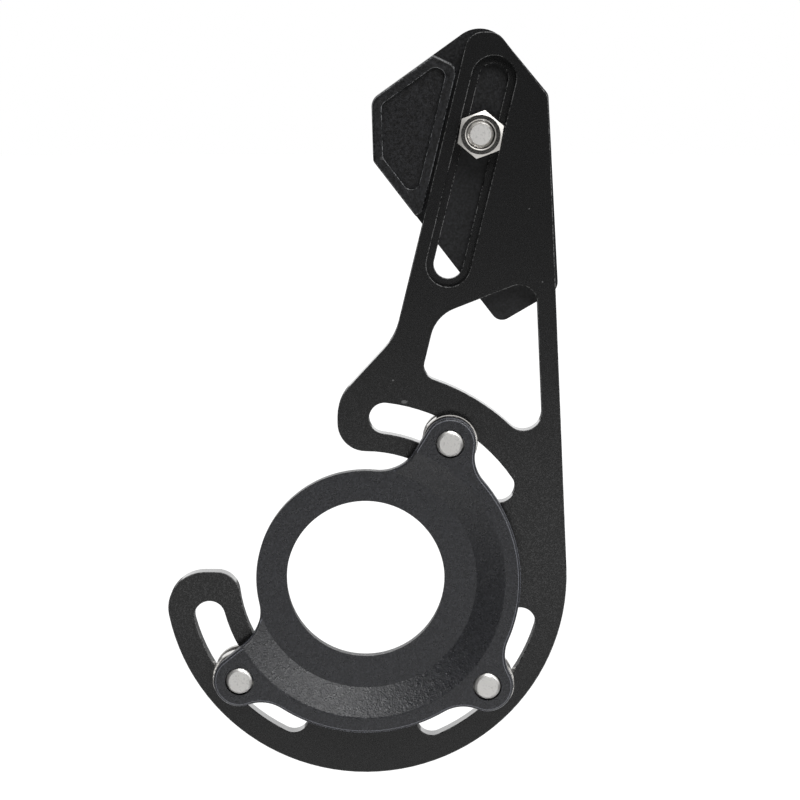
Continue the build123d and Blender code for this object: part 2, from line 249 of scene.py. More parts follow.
class StudioSizes(bpy.types.PropertyGroup):
    """Camera, floor and lights."""

    camera_distance: FloatProperty(
        name="Camera distance", description="From the lens to the aim point", unit="LENGTH",
        default=0.600)
    camera_elevation: FloatProperty(
        name="Camera elevation", description="How far the camera looks down", subtype="ANGLE",
        default=math.radians(8.0))
    aim: FloatVectorProperty(
        name="Aim", description="Point at the middle of the picture", subtype="TRANSLATION",
        unit="LENGTH", size=3, default=(0.00776, 0.0020, 0.0404))
    focal_pixels: FloatProperty(
        name="Focal length", description="Focal length in picture elements", default=2679.0)
    sensor: FloatProperty(
        name="Sensor", description="Width of the sensor in millimetres", default=36.0)
    floor_drop: FloatProperty(
        name="Floor drop", description="From the lowest point down to the floor", unit="LENGTH",
        default=0.150)
    floor_radius: FloatProperty(
        name="Floor radius", description="Radius of the pale floor", unit="LENGTH", default=6.0)
    # Radius of the painted pool of light on the floor
    floor_pool: FloatProperty(
        name="Floor pool", description="Radius of the bright middle of the floor", unit="LENGTH",
        default=0.24)
    key_place: FloatVectorProperty(
        name="Key place", description="Softbox above the camera, a little to the right",
        subtype="TRANSLATION", unit="LENGTH", size=3, default=(0.20, -0.60, 0.68))
    key_side: FloatProperty(
        name="Key side", description="Side of the key softbox", unit="LENGTH", default=0.45)
    key_power: FloatProperty(
        name="Key power", description="Power of the key softbox", unit="POWER", default=6.6)
    flank_place: FloatVectorProperty(
        name="Flank place", description="Softbox at the right of the camera", subtype="TRANSLATION",
        unit="LENGTH", size=3, default=(0.72, -0.54, 0.26))
    flank_side: FloatProperty(
        name="Flank side", description="Side of the flank softbox", unit="LENGTH", default=0.40)
    flank_power: FloatProperty(
        name="Flank power", description="Power of the flank softbox", unit="POWER", default=2.0)
    card_place: FloatVectorProperty(
        name="Card place", description="White card low in front of the part", subtype="TRANSLATION",
        unit="LENGTH", size=3, default=(0.0, -0.75, -0.165))
    card_width: FloatProperty(
        name="Card width", description="Width of the white card", unit="LENGTH", default=0.80)
    card_height: FloatProperty(
        name="Card height", description="Height of the white card", unit="LENGTH", default=0.16)
    card_power: FloatProperty(
        name="Card power", description="Light that the card throws back", unit="POWER",
        default=0.71)
    front_level: FloatProperty(
        name="Front level", description="Ambient light from round the camera",
        min=0.0, default=0.02)
    shade_level: FloatProperty(
        name="Shade level", description="Ambient light from the left and below",
        min=0.0, default=0.40)
    side_level: FloatProperty(
        name="Side level", description="Ambient light from the right and above",
        min=0.0, default=0.75)
    back_level: FloatProperty(
        name="Back level", description="Ambient light from behind the part", min=0.0, default=1.0)


SETTINGS = {
    "plate_finish": PlateFinish,
    "adapter_finish": AdapterFinish,
    "nylon_finish": NylonFinish,
    "steel_finish": SteelFinish,
    "fastener_sizes": FastenerSizes,
    "studio_sizes": StudioSizes,
}


# Node tools shared by the materials and the geometry trees

def feed(tree, socket, value):
    """Link a socket to another, or set its constant."""
    if isinstance(value, bpy.types.NodeSocket):
        tree.links.new(value, socket)
    else:
        socket.default_value = value


def add(tree, kind, inputs=None, **settings):
    """New node with its settings and inputs, given by name or by number."""
    node = tree.nodes.new(kind)
    for key, value in settings.items():
        setattr(node, key, value)
    for key, value in (inputs or {}).items():
        feed(tree, node.inputs[key], value)
    return node


def maths(tree, operation, first, second=0.0, clamp=False):
    """Output of one Math node."""
    node = add(tree, "ShaderNodeMath", {0: first, 1: second}, operation=operation, use_clamp=clamp)
    return node.outputs[0]


def span(tree, value, low, high, to_low=0.0, to_high=1.0):
    """Value mapped from one span to another, clamped and smooth."""
    node = add(tree, "ShaderNodeMapRange", {"Value": value, "From Min": low, "From Max": high,
                                            "To Min": to_low, "To Max": to_high},
               interpolation_type="SMOOTHSTEP")
    return node.outputs["Result"]


def new_group(name, kind, inputs, outputs):
    """Node group with named sockets; gives the group and its two end nodes."""
    group = bpy.data.node_groups.new(name, kind)
    for label, socket_type, default in inputs:
        socket = group.interface.new_socket(name=label, in_out="INPUT", socket_type=socket_type)
        if default is not None:
            socket.default_value = default
    for label, socket_type in outputs:
        group.interface.new_socket(name=label, in_out="OUTPUT", socket_type=socket_type)
    return group, group.nodes.new("NodeGroupInput").outputs, group.nodes.new("NodeGroupOutput").inputs


# Shader groups for effects that several finishes share

# Noise scales, in cells to the metre
STRETCH_SCALE = 160.0
DOT_SCALE = 2000.0
SPECK_SCALE = 330.0
FRAY_SCALE = 2600.0
CLOUD_SCALE = 45.0
MOTTLE_SCALE = 1700.0
FLECK_SCALE = 700.0
# Shares of two noises in a mixed one
FINE_SHARE, CELL_SHARE = 0.65, 0.35
STRETCH_SHARE, DOT_SHARE = 0.4, 0.6
# How far a face looks along the crank axis that breaks an edge at 45 degrees
BROKEN_LEAN = math.sqrt(0.5)


def grain_group():
    """Dimples of a given width: a height for bump and a mask of their crests."""
    name = "Surface Grain"
    if name in bpy.data.node_groups:
        return bpy.data.node_groups[name]
    group, given, result = new_group(
        name, "ShaderNodeTree",
        [("Width", "NodeSocketFloat", 0.0005), ("Roughening", "NodeSocketFloat", 0.5)],
        [("Height", "NodeSocketFloat"), ("Crests", "NodeSocketFloat")])
    place = add(group, "ShaderNodeTexCoord").outputs["Object"]
    scale = maths(group, "DIVIDE", 1.0, given["Width"])
    fine = add(group, "ShaderNodeTexNoise", {"Vector": place, "Scale": scale, "Detail": 3.0,
                                             "Roughness": given["Roughening"]})
    cells = add(group, "ShaderNodeTexVoronoi", {"Vector": place, "Scale": scale},
                feature="SMOOTH_F1")
    mixed = maths(group, "ADD", maths(group, "MULTIPLY", fine.outputs[0], FINE_SHARE),
                  maths(group, "MULTIPLY", cells.outputs["Distance"], CELL_SHARE))
    feed(group, result["Height"], mixed)
    feed(group, result["Crests"], span(group, mixed, 0.40, 0.62))
    return group


def edge_group():
    """Masks from the lean of a face: rubbed bits that also carry a painted highlight, walls, borders of
    rounds where highlight lines are painted, and slopes.
    """
    name = "Broken Edges"
    if name in bpy.data.node_groups:
        return bpy.data.node_groups[name]
    group, given, result = new_group(
        name, "ShaderNodeTree", [("Wear", "NodeSocketFloat", 0.5)],
        [("Wear And Highlight", "NodeSocketFloat"), ("Wall", "NodeSocketFloat"), ("Highlight Lines", "NodeSocketFloat"),
         ("Slope", "NodeSocketFloat")])
    geometry = add(group, "ShaderNodeNewGeometry")
    lean = add(group, "ShaderNodeSeparateXYZ", {0: geometry.outputs["True Normal"]})
    depth = maths(group, "ABSOLUTE", lean.outputs["Y"])
    off_middle = maths(group, "ABSOLUTE", maths(group, "SUBTRACT", depth, BROKEN_LEAN))
    edge = span(group, off_middle, 0.08, 0.20, 1.0, 0.0)
    place = add(group, "ShaderNodeTexCoord").outputs["Object"]
    stretches = add(group, "ShaderNodeTexNoise", {"Vector": place, "Scale": STRETCH_SCALE,
                                                  "Detail": 2.0})
    dots = add(group, "ShaderNodeTexNoise", {"Vector": place, "Scale": DOT_SCALE, "Detail": 2.0})
    # Noise that breaks the edges into rubbed bits, where wear and a painted highlight go
    rubbed = maths(group, "ADD", maths(group, "MULTIPLY", stretches.outputs[0], STRETCH_SHARE),
                   maths(group, "MULTIPLY", dots.outputs[0], DOT_SHARE))
    threshold = maths(group, "SUBTRACT", 1.0, given["Wear"])
    wear_and_highlight = span(group, maths(group, "SUBTRACT", rubbed, threshold), -0.04, 0.08)
    # Borders of a round, against the face or the wall, where a painted highlight line goes
    rounded = add(group, "ShaderNodeSeparateXYZ", {0: geometry.outputs["Normal"]})
    turned = maths(group, "ABSOLUTE", rounded.outputs["Y"])
    near_face = span(group, turned, 0.93, 0.98)
    near_wall = span(group, turned, 0.15, 0.30, 1.0, 0.0)
    highlight_border = maths(group, "MAXIMUM", near_face, near_wall)
    feed(group, result["Highlight Lines"], maths(group, "MULTIPLY", edge, highlight_border))
    feed(group, result["Wear And Highlight"], maths(group, "MULTIPLY", edge, wear_and_highlight))
    feed(group, result["Wall"], span(group, depth, 0.2, 0.4, 1.0, 0.0))
    off_wall = span(group, depth, 0.30, 0.45)
    off_face = span(group, depth, 0.90, 0.95, 1.0, 0.0)
    feed(group, result["Slope"], maths(group, "MULTIPLY", off_wall, off_face))
    return group


def speck_group():
    """Mask of a few tiny light specks, such as dust and pinholes."""
    name = "Light Specks"
    if name in bpy.data.node_groups:
        return bpy.data.node_groups[name]
    group, given, result = new_group(
        name, "ShaderNodeTree", [("Share", "NodeSocketFloat", 0.2)], [("Specks", "NodeSocketFloat")])
    place = add(group, "ShaderNodeTexCoord").outputs["Object"]
    cells = add(group, "ShaderNodeTexVoronoi", {"Vector": place, "Scale": SPECK_SCALE})
    near = span(group, cells.outputs["Distance"], 0.05, 0.09, 1.0, 0.0)
    chance = add(group, "ShaderNodeSeparateColor", {0: cells.outputs["Color"]}).outputs[0]
    held = maths(group, "LESS_THAN", chance, given["Share"])
    feed(group, result["Specks"], maths(group, "MULTIPLY", near, held))
    return group


def place_group(tree, group, inputs):
    """Outputs of a group that is placed in a material."""
    return add(tree, "ShaderNodeGroup", inputs, node_tree=group).outputs


def new_material(name):
    """Empty node material with a Principled shader; gives the tree and the shader."""
    material = bpy.data.materials.new(name)
    material.use_nodes = True
    tree = material.node_tree
    return material, tree, tree.nodes["Principled BSDF"]


def mix_colour(tree, factor, first, second):
    """Colour mixed from two by a factor."""
    node = add(tree, "ShaderNodeMix", data_type="RGBA")
    feed(tree, node.inputs["Factor"], factor)
    feed(tree, node.inputs[6], first)
    feed(tree, node.inputs[7], second)
    return node.outputs[2]


def opaque(colour, share=1.0):
    """Share of a colour, with full alpha."""
    return (*(share * part for part in colour), 1.0)


def blot(tree, centre, reach):
    """Mask of one ragged spot round a point."""
    place = add(tree, "ShaderNodeTexCoord").outputs["Object"]
    offset = add(tree, "ShaderNodeVectorMath", {0: place, 1: centre}, operation="SUBTRACT")
    scaled = add(tree, "ShaderNodeVectorMath", {0: offset.outputs[0], 1: reach}, operation="DIVIDE")
    far = add(tree, "ShaderNodeVectorMath", {0: scaled.outputs[0]}, operation="LENGTH")
    noise = add(tree, "ShaderNodeTexNoise", {"Vector": place, "Scale": FRAY_SCALE, "Detail": 3.0})
    frayed = maths(tree, "ADD", far.outputs["Value"], noise.outputs[0])
    return span(tree, frayed, 0.9, 1.3, 1.0, 0.0)


# Finishes

# Shares of a finish's colours
DARK_CLOUD, LIGHT_CLOUD = 0.2, 0.5
BLAST_CREST = 2.6
MARK_SHARE = 0.8
COAT_LOW, COAT_CREST = 0.65, 1.45
COAT_SPECK = 3.0
# Painted highlight lines along the borders of the rounded edges
COAT_EDGE_HIGHLIGHT = 8.0
SKIN_LOW, SKIN_HIGH = 0.0, 4.5
FLECK_SHARE = 0.35
# How far the grain takes a roughness down and up
BLAST_SHIFT = 0.05
SMOOTHER, ROUGHER = 0.06, 0.08
FLECK_SHIFT = 0.04
# Height of the coat's swellings and of its grain on flat faces, as against the grain on the slopes
PEEL_SHARE = 0.6
FLAT_SHARE = 0.6
# Depth of the flecks in plated steel
FLECK_DEPTH = 0.03 * MM


def plate_black(finish):
    """Blasted and anodised aluminium with thin oxide and a painted highlight along its edges, a few
    specks and one rub mark.
    """
    material, tree, shader = new_material("plate_black")
    grain = place_group(tree, grain_group(), {"Width": finish.grain, "Roughening": 0.6})
    edges = place_group(tree, edge_group(), {"Wear": finish.wear})
    specks = place_group(tree, speck_group(), {"Share": finish.specks})["Specks"]
    scuff = blot(tree, finish.scuff_place, finish.scuff_reach)
    place = add(tree, "ShaderNodeTexCoord").outputs["Object"]
    cloud = add(tree, "ShaderNodeTexNoise", {"Vector": place, "Scale": CLOUD_SCALE, "Detail": 3.0})
    face = mix_colour(tree, cloud.outputs[0], opaque(finish.colour, DARK_CLOUD),
                      opaque(finish.colour, LIGHT_CLOUD))
    blasted = mix_colour(tree, grain["Crests"], face, opaque(finish.colour, BLAST_CREST))
    marks = maths(tree, "MAXIMUM", specks, scuff)
    marked = mix_colour(tree, marks, blasted, opaque(finish.wear_and_highlight_colour, MARK_SHARE))
    # Broken edges lightened: partly rubbed oxide, partly a painted highlight along the chamfers
    rubbed = mix_colour(tree, edges["Wear And Highlight"], marked, opaque(finish.wear_and_highlight_colour))
    feed(tree, shader.inputs["Base Color"], rubbed)
    rough = span(tree, grain["Crests"], 0.0, 1.0,
                 finish.roughness + BLAST_SHIFT, finish.roughness - BLAST_SHIFT)
    wall = add(tree, "ShaderNodeMix", {"Factor": edges["Wall"], "A": rough, "B": finish.wall_roughness})
    feed(tree, shader.inputs["Roughness"], wall.outputs[0])
    bump = add(tree, "ShaderNodeBump", {"Height": grain["Height"], "Strength": 0.06,
                                        "Distance": finish.dimple_depth})
    feed(tree, shader.inputs["Normal"], bump.outputs[0])
    shader.inputs["Specular IOR Level"].default_value = 0.45
    feed(tree, shader.inputs["Coat Weight"], edges["Wall"])
    shader.inputs["Coat Roughness"].default_value = 0.10
    return material


def adapter_black(finish):
    """Thick coat with an orange peel, a fine grit that is deeper on the slopes, and painted highlight
    lines along the borders of its rounded edges.
    """
    material, tree, shader = new_material("adapter_black")
    peel = place_group(tree, grain_group(), {"Width": finish.peel, "Roughening": 0.4})
    grit = place_group(tree, grain_group(), {"Width": finish.grit, "Roughening": 0.7})
    specks = place_group(tree, speck_group(), {"Share": finish.specks})["Specks"]
    coat = mix_colour(tree, grit["Crests"], opaque(finish.colour, COAT_LOW),
                      opaque(finish.colour, COAT_CREST))
    edges = place_group(tree, edge_group(), {})
    specked = mix_colour(tree, specks, coat, opaque(finish.colour, COAT_SPECK))
    # Painted highlight lines where the rounded edges meet the faces and the walls
    highlight_lined = mix_colour(tree, edges["Highlight Lines"], specked, opaque(finish.colour, COAT_EDGE_HIGHLIGHT))
    feed(tree, shader.inputs["Base Color"], highlight_lined)
    feed(tree, shader.inputs["Roughness"],
         span(tree, peel["Height"], 0.3, 0.7, finish.roughness - SMOOTHER, finish.roughness + ROUGHER))
    height = maths(tree, "ADD", maths(tree, "MULTIPLY", peel["Height"], PEEL_SHARE), grit["Height"])
    strength = span(tree, edges["Slope"], 0.0, 1.0, FLAT_SHARE, 1.0)
    bump = add(tree, "ShaderNodeBump", {"Height": height, "Strength": strength,
                                        "Distance": finish.grit_depth})
    feed(tree, shader.inputs["Normal"], bump.outputs[0])
    shader.inputs["Specular IOR Level"].default_value = 0.5
    return material


def nylon_black(finish):
    """Filled nylon with the fine texture of its mould and whitened bits along its edges, partly rubbed
    skin and partly a painted highlight.
    """
    material, tree, shader = new_material("nylon_black")
    grain = place_group(tree, grain_group(), {"Width": finish.grain, "Roughening": 0.65})
    edges = place_group(tree, edge_group(), {"Wear": finish.wear})
    place = add(tree, "ShaderNodeTexCoord").outputs["Object"]
    cloud = add(tree, "ShaderNodeTexNoise", {"Vector": place, "Scale": MOTTLE_SCALE, "Detail": 4.0,
                                             "Roughness": 0.75})
    mottle = span(tree, cloud.outputs[0], 0.38, 0.66)
    face = mix_colour(tree, mottle, opaque(finish.colour, SKIN_LOW), opaque(finish.colour, SKIN_HIGH))
    outboard = add(tree, "ShaderNodeSeparateXYZ", {0: place}).outputs["Y"]
    inner = span(tree, outboard, finish.rubbed_depth, finish.rubbed_depth + MM, 1.0, 0.0)
    # Lightened edges on the inboard side: partly rubbed skin, partly a painted highlight
    wear_and_highlight = maths(tree, "MULTIPLY", edges["Wear And Highlight"], inner)
    feed(tree, shader.inputs["Base Color"], mix_colour(tree, wear_and_highlight, face, opaque(finish.wear_and_highlight_colour)))
    feed(tree, shader.inputs["Roughness"],
         span(tree, grain["Height"], 0.3, 0.7, finish.roughness + ROUGHER, finish.roughness - SMOOTHER))
    bump = add(tree, "ShaderNodeBump", {"Height": grain["Height"], "Strength": 0.5,
                                        "Distance": finish.dimple_depth})
    feed(tree, shader.inputs["Normal"], bump.outputs[0])
    shader.inputs["Specular IOR Level"].default_value = 0.46
    return material


def steel(name, colour, roughness, chamfer_roughness, fleck_strength):
    """Plated steel with darker flecks and chamfers of another roughness."""
    material, tree, shader = new_material(name)
    place = add(tree, "ShaderNodeTexCoord").outputs["Object"]
    flecks = add(tree, "ShaderNodeTexNoise", {"Vector": place, "Scale": FLECK_SCALE, "Detail": 5.0,
                                              "Distortion": 2.5})
    dull = span(tree, flecks.outputs[0], 0.54, 0.66, 0.0, fleck_strength)
    plated = mix_colour(tree, dull, opaque(colour), opaque(colour, FLECK_SHARE))
    feed(tree, shader.inputs["Base Color"], plated)
    face = span(tree, flecks.outputs[0], 0.35, 0.70, roughness - FLECK_SHIFT, roughness + FLECK_SHIFT)
    chamfer = place_group(tree, edge_group(), {})["Slope"]
    rough = add(tree, "ShaderNodeMix", {"Factor": chamfer, "A": face, "B": chamfer_roughness})
    feed(tree, shader.inputs["Roughness"], rough.outputs[0])
    bump = add(tree, "ShaderNodeBump", {"Height": flecks.outputs[0], "Strength": 0.35,
                                        "Distance": FLECK_DEPTH})
    feed(tree, shader.inputs["Normal"], bump.outputs[0])
    shader.inputs["Metallic"].default_value = 1.0
    return material


def bright_steel(finish):
    """Polished plate of the rings."""
    return steel("bright_steel", finish.colour, finish.roughness, finish.roughness, finish.flecks)


def nut_steel(finish):
    """Polished plate of the nut, whose turned chamfers are matt."""
    return steel("nut_steel", finish.colour, finish.roughness, finish.nut_chamfer_roughness,
                 finish.flecks)


def dull_steel(finish):
    """Matt zinc plate of the screws."""
    return steel("dull_steel", finish.dull_colour, finish.dull_roughness, finish.dull_chamfer_roughness,
                 finish.dull_flecks)


FINISHES = {
    "plate_black": (plate_black, "plate_finish"),
    "adapter_black": (adapter_black, "adapter_finish"),
    "nylon_black": (nylon_black, "nylon_finish"),
    "bright_steel": (bright_steel, "steel_finish"),
    "nut_steel": (nut_steel, "steel_finish"),
    "dull_steel": (dull_steel, "steel_finish"),
}


def finish_material(name):
    """One of the finishes, made once."""
    for held in bpy.data.materials:
        if held.get("finish") == name:
            return held
    make, settings = FINISHES[name]
    material = make(getattr(bpy.context.scene, settings))
    material["finish"] = name
    return material


def dress(thing, name):
    """Give a piece its finish."""
    thing.data.materials.clear()
    thing.data.materials.append(finish_material(name))


# Copies of frame nodes whose broken edges shade as rounds

WELD = 0.000002
FLOWING_ANGLE = math.radians(22.0)
BREAK_ANGLE = math.radians(60.0)
# Lean of a face that breaks an edge: how far it looks along the crank axis
LEAST_LEAN, MOST_LEAN = 0.6, 0.8
# Change of lean across an edge up to which two faces read as one
CRISP_STEP = 0.02
SOFT_STEP = 1.0
# A face that breaks an edge takes its shading from the faces beside it
STRENGTH_LAYER = "__mod_weightednormals_faceweight"
WEAK, STRONG = -16384, 16384


def leans(face):
    """True for a face that breaks an edge at about 45 degrees."""
    return LEAST_LEAN < abs(face.normal.y) < MOST_LEAN


def flows(edge, lean_step):
    """True for an edge across which the surface reads as one."""
    if len(edge.link_faces) != 2:
        return False
    angle = edge.calc_face_angle()
    if any(leans(face) for face in edge.link_faces):
        return angle < BREAK_ANGLE
    first, second = edge.link_faces
    return angle < FLOWING_ANGLE and abs(first.normal.y - second.normal.y) < lean_step


def softened(node, body, lean_step):
    """Copy of a frame node with the same points and rounded shading; it stands for the node."""
    shape = bmesh.new()
    shape.from_mesh(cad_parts[node].data)
    bmesh.ops.remove_doubles(shape, verts=shape.verts, dist=WELD)
    shape.normal_update()
    strength = shape.faces.layers.int.new(STRENGTH_LAYER)
    for face in shape.faces:
        face.smooth = True
        face[strength] = WEAK if leans(face) else STRONG
    for edge in shape.edges:
        edge.smooth = flows(edge, lean_step)
    mesh = bpy.data.meshes.new(node + "_soft")
    shape.to_mesh(mesh)
    shape.free()
    if "custom_normal" in mesh.attributes:
        mesh.attributes.remove(mesh.attributes["custom_normal"])
    thing = bpy.data.objects.new(node + "_soft", mesh)
    bpy.context.scene.collection.objects.link(thing)
    modifier = thing.modifiers.new("Weighted normals", "WEIGHTED_NORMAL")
    modifier.mode = "FACE_AREA_WITH_ANGLE"
    modifier.weight = 100
    modifier.keep_sharp = True
    modifier.use_face_influence = True
    settle(thing, modifier)
    thing.data.attributes.remove(thing.data.attributes[STRENGTH_LAYER])
    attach(thing, body)
    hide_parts(node)
    return thing


def settle(thing, modifier):
    """Fix what a modifier makes as the piece's own mesh."""
    bpy.context.view_layer.update()
    whole = thing.evaluated_get(bpy.context.evaluated_depsgraph_get())
    mesh = bpy.data.meshes.new_from_object(whole)
    thing.modifiers.remove(modifier)
    spare = thing.data
    thing.data = mesh
    bpy.data.meshes.remove(spare)


# Geometry trees of the screws and the rings

AROUND = 48
ROWS_IN_PITCH = 12.0
HEAD_ROWS = 8
# Half of a thread's pitch: its crest, then its flank, and the rest is root
CREST_SHARE, FLANK_SHARE = 0.15, 0.60


def lathe(tree, columns, rows, radius_of, turning):
    """Grid turned round Y; radius_of gives the radius and the height for a turn, an angle and a row."""
    grid = add(tree, "GeometryNodeMeshGrid", {"Size X": 1.0, "Size Y": 1.0, "Vertices X": columns,
                                              "Vertices Y": rows})
    place = add(tree, "ShaderNodeSeparateXYZ", {0: add(tree, "GeometryNodeInputPosition").outputs[0]})
    turn = maths(tree, "ADD", place.outputs["X"], 0.5)
    rise = maths(tree, "ADD", place.outputs["Y"], 0.5)
    angle = maths(tree, "MULTIPLY", turn, 2.0 * math.pi)
    row = maths(tree, "ROUND", maths(tree, "MULTIPLY", rise, maths(tree, "SUBTRACT", rows, 1.0)))
    radius, height = radius_of(turn, angle, row)
    across = maths(tree, "MULTIPLY", radius, maths(tree, "COSINE", angle))
    up = maths(tree, "MULTIPLY", maths(tree, "MULTIPLY", radius, maths(tree, "SINE", angle)), turning)
    point = add(tree, "ShaderNodeCombineXYZ", {"X": across, "Y": height, "Z": up})
    moved = add(tree, "GeometryNodeSetPosition", {"Geometry": grid.outputs["Mesh"],
                                                  "Position": point.outputs[0]})
    return moved.outputs[0]


def thread_profile(tree, given, rows):
    """Radius and height along a threaded shank, from the middle of its tip up to its head."""
    def profile(turn, angle, row):
        step = maths(tree, "MAXIMUM", maths(tree, "SUBTRACT", row, 1.0), 0.0)
        share = maths(tree, "DIVIDE", step, maths(tree, "SUBTRACT", rows, 2.0))
        along = maths(tree, "MULTIPLY", share, given["Length"])
        turns = maths(tree, "ADD", maths(tree, "DIVIDE", along, given["Pitch"]), turn)
        phase = maths(tree, "FRACT", turns)
        centred = maths(tree, "SUBTRACT", maths(tree, "MULTIPLY", phase, 2.0), 1.0)
        ridge = maths(tree, "ABSOLUTE", centred)
        past_crest = maths(tree, "SUBTRACT", ridge, CREST_SHARE)
        groove = maths(tree, "DIVIDE", past_crest, FLANK_SHARE, clamp=True)
        left = maths(tree, "SUBTRACT", given["Length"], along)
        fade = maths(tree, "SUBTRACT", maths(tree, "DIVIDE", left, given["Pitch"]), 1.0, clamp=True)
        cut = maths(tree, "MULTIPLY", maths(tree, "MULTIPLY", groove, fade), given["Thread Depth"])
        crest = maths(tree, "SUBTRACT", given["Radius"], cut)
        tip_radius = maths(tree, "SUBTRACT", given["Radius"], given["Tip Chamfer"])
        chamfer = maths(tree, "ADD", tip_radius, along)
        outer = maths(tree, "MINIMUM", crest, chamfer)
        radius = maths(tree, "MULTIPLY", outer, maths(tree, "GREATER_THAN", row, 0.5))
        return radius, maths(tree, "SUBTRACT", along, given["Length"])
    return profile


def head_profile(tree, given):
    """Radius and height round a low head with a hexagon socket, from the socket's floor to the shank."""
    def profile(turn, angle, row):
        sixth = math.pi / 3.0
        off_flat = maths(tree, "SUBTRACT", maths(tree, "MODULO", angle, sixth), sixth / 2.0)
        half = maths(tree, "MULTIPLY", given["Socket Width"], 0.5)
        wall = maths(tree, "DIVIDE", half, maths(tree, "COSINE", off_flat))
        floor = maths(tree, "SUBTRACT", given["Head Height"], given["Socket Depth"])
        corners = [(0.0, floor), (wall, floor), (wall, given["Head Height"]),
                   (given["Flat Radius"], given["Head Height"]),
                   (given["Head Radius"], given["Head Rim"]), (given["Head Radius"], given["Seat Gap"]),
                   (given["Radius"], given["Seat Gap"]), (given["Radius"], 0.0)]
        return pick_corner(tree, corners, row)
    return profile


def pick_corner(tree, corners, row):
    """Radius and height of the corner of a given row."""
    picks = []
    for values in zip(*corners):
        switch = add(tree, "GeometryNodeIndexSwitch", data_type="FLOAT")
        while len(switch.index_switch_items) < len(values):
            switch.index_switch_items.new()
        feed(tree, switch.inputs["Index"], row)
        for number, value in enumerate(values):
            feed(tree, switch.inputs[number + 1], value)
        picks.append(switch.outputs[0])
    return picks


def screw_tree():
    """Like screws set on a circle: a threaded shank towards -Y and a low socket head towards +Y."""
    name = "Threaded Screws"
    if name in bpy.data.node_groups:
        return bpy.data.node_groups[name]
    inputs = circle_inputs(("Radius", "Pitch", "Thread Depth", "Length", "Tip Chamfer", "Head Radius",
                            "Head Height", "Head Rim", "Flat Radius", "Seat Gap", "Socket Width",
                            "Socket Depth"))
    tree, given, result = new_group(name, "GeometryNodeTree", inputs,
                                    [("Geometry", "NodeSocketGeometry")])
    turns = maths(tree, "DIVIDE", given["Length"], given["Pitch"])
    rows = maths(tree, "CEIL", maths(tree, "MULTIPLY", turns, ROWS_IN_PITCH))
    shank = lathe(tree, AROUND + 1, rows, thread_profile(tree, given, rows), -1.0)
    head = lathe(tree, AROUND + 1, HEAD_ROWS, head_profile(tree, given), 1.0)
    joined = add(tree, "GeometryNodeJoinGeometry")
    tree.links.new(head, joined.inputs[0])
    tree.links.new(shank, joined.inputs[0])
    feed(tree, result["Geometry"], round_circle(tree, given, joined.outputs[0]))
    return tree


def ring_tree():
    """Like rings set on a circle, with a small round on both outer edges."""
    name = "Spacer Rings"
    if name in bpy.data.node_groups:
        return bpy.data.node_groups[name]
    inputs = circle_inputs(("Radius", "Hole Radius", "Thickness", "Edge Round"))
    tree, given, result = new_group(name, "GeometryNodeTree", inputs,
                                    [("Geometry", "NodeSocketGeometry")])
    neck = maths(tree, "SUBTRACT", given["Radius"], given["Edge Round"])
    top = maths(tree, "SUBTRACT", given["Thickness"], given["Edge Round"])
    corners = [(given["Hole Radius"], 0.0), (neck, 0.0), (given["Radius"], given["Edge Round"]),
               (given["Radius"], top), (neck, given["Thickness"]),
               (given["Hole Radius"], given["Thickness"]), (given["Hole Radius"], 0.0)]

    def profile(turn, angle, row):
        return pick_corner(tree, corners, row)

    ring = lathe(tree, AROUND + 1, len(corners), profile, -1.0)
    feed(tree, result["Geometry"], round_circle(tree, given, ring))
    return tree


def circle_inputs(lengths):
    """Inputs of a tree that sets like pieces on a circle."""
    labels = (*lengths, "Circle Radius", "First Angle", "Angle Step")
    inputs = [(label, "NodeSocketFloat", 0.001) for label in labels]
    return inputs + [("Count", "NodeSocketInt", 1), ("Centre", "NodeSocketVector", None),
                     ("Material", "NodeSocketMaterial", None)]


def round_circle(tree, given, piece):
    """Welded, smoothed and coloured copies of one piece, set on a circle round Y."""
    welded = add(tree, "GeometryNodeMergeByDistance", {"Geometry": piece, "Distance": WELD})
    smooth = add(tree, "GeometryNodeSetShadeSmooth", {0: welded.outputs[0]})
    bend = add(tree, "GeometryNodeInputMeshEdgeAngle").outputs[0]
    sharp = maths(tree, "GREATER_THAN", bend, FLOWING_ANGLE)
    crisp = add(tree, "GeometryNodeSetShadeSmooth", {0: smooth.outputs[0], "Shade Smooth": False,
                                                     "Selection": sharp}, domain="EDGE")
    number = add(tree, "GeometryNodeInputIndex").outputs[0]
    swing = maths(tree, "MULTIPLY", number, given["Angle Step"])
    angle = maths(tree, "ADD", given["First Angle"], swing)
    across = maths(tree, "MULTIPLY", given["Circle Radius"], maths(tree, "COSINE", angle))
    up = maths(tree, "MULTIPLY", given["Circle Radius"], maths(tree, "SINE", angle))
    offset = add(tree, "ShaderNodeCombineXYZ", {"X": across, "Z": up})
    seat = add(tree, "ShaderNodeVectorMath", {0: offset.outputs[0], 1: given["Centre"]}, operation="ADD")
    points = add(tree, "GeometryNodePoints", {"Count": given["Count"], "Position": seat.outputs[0]})
    placed = add(tree, "GeometryNodeInstanceOnPoints", {"Points": points.outputs[0],
                                                        "Instance": crisp.outputs[0]})
    real = add(tree, "GeometryNodeRealizeInstances", {"Geometry": placed.outputs[0]})
    coloured = add(tree, "GeometryNodeSetMaterial", {"Geometry": real.outputs[0],
                                                     "Material": given["Material"]})
    return coloured.outputs[0]


def grown(name, node, body, tree, values):
    """Piece made by a geometry tree; it stands for a frame node of the same form."""
    thing = bpy.data.objects.new(name, bpy.data.meshes.new(name))
    bpy.context.scene.collection.objects.link(thing)
    modifier = thing.modifiers.new(tree.name, "NODES")
    modifier.node_group = tree
    given = [item for item in tree.interface.items_tree if item.in_out == "INPUT"]
    sockets = {item.name: item.identifier for item in given}
    for label, value in values.items():
        modifier[sockets[label]] = value
    settle(thing, modifier)
    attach(thing, body)
    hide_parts(node)


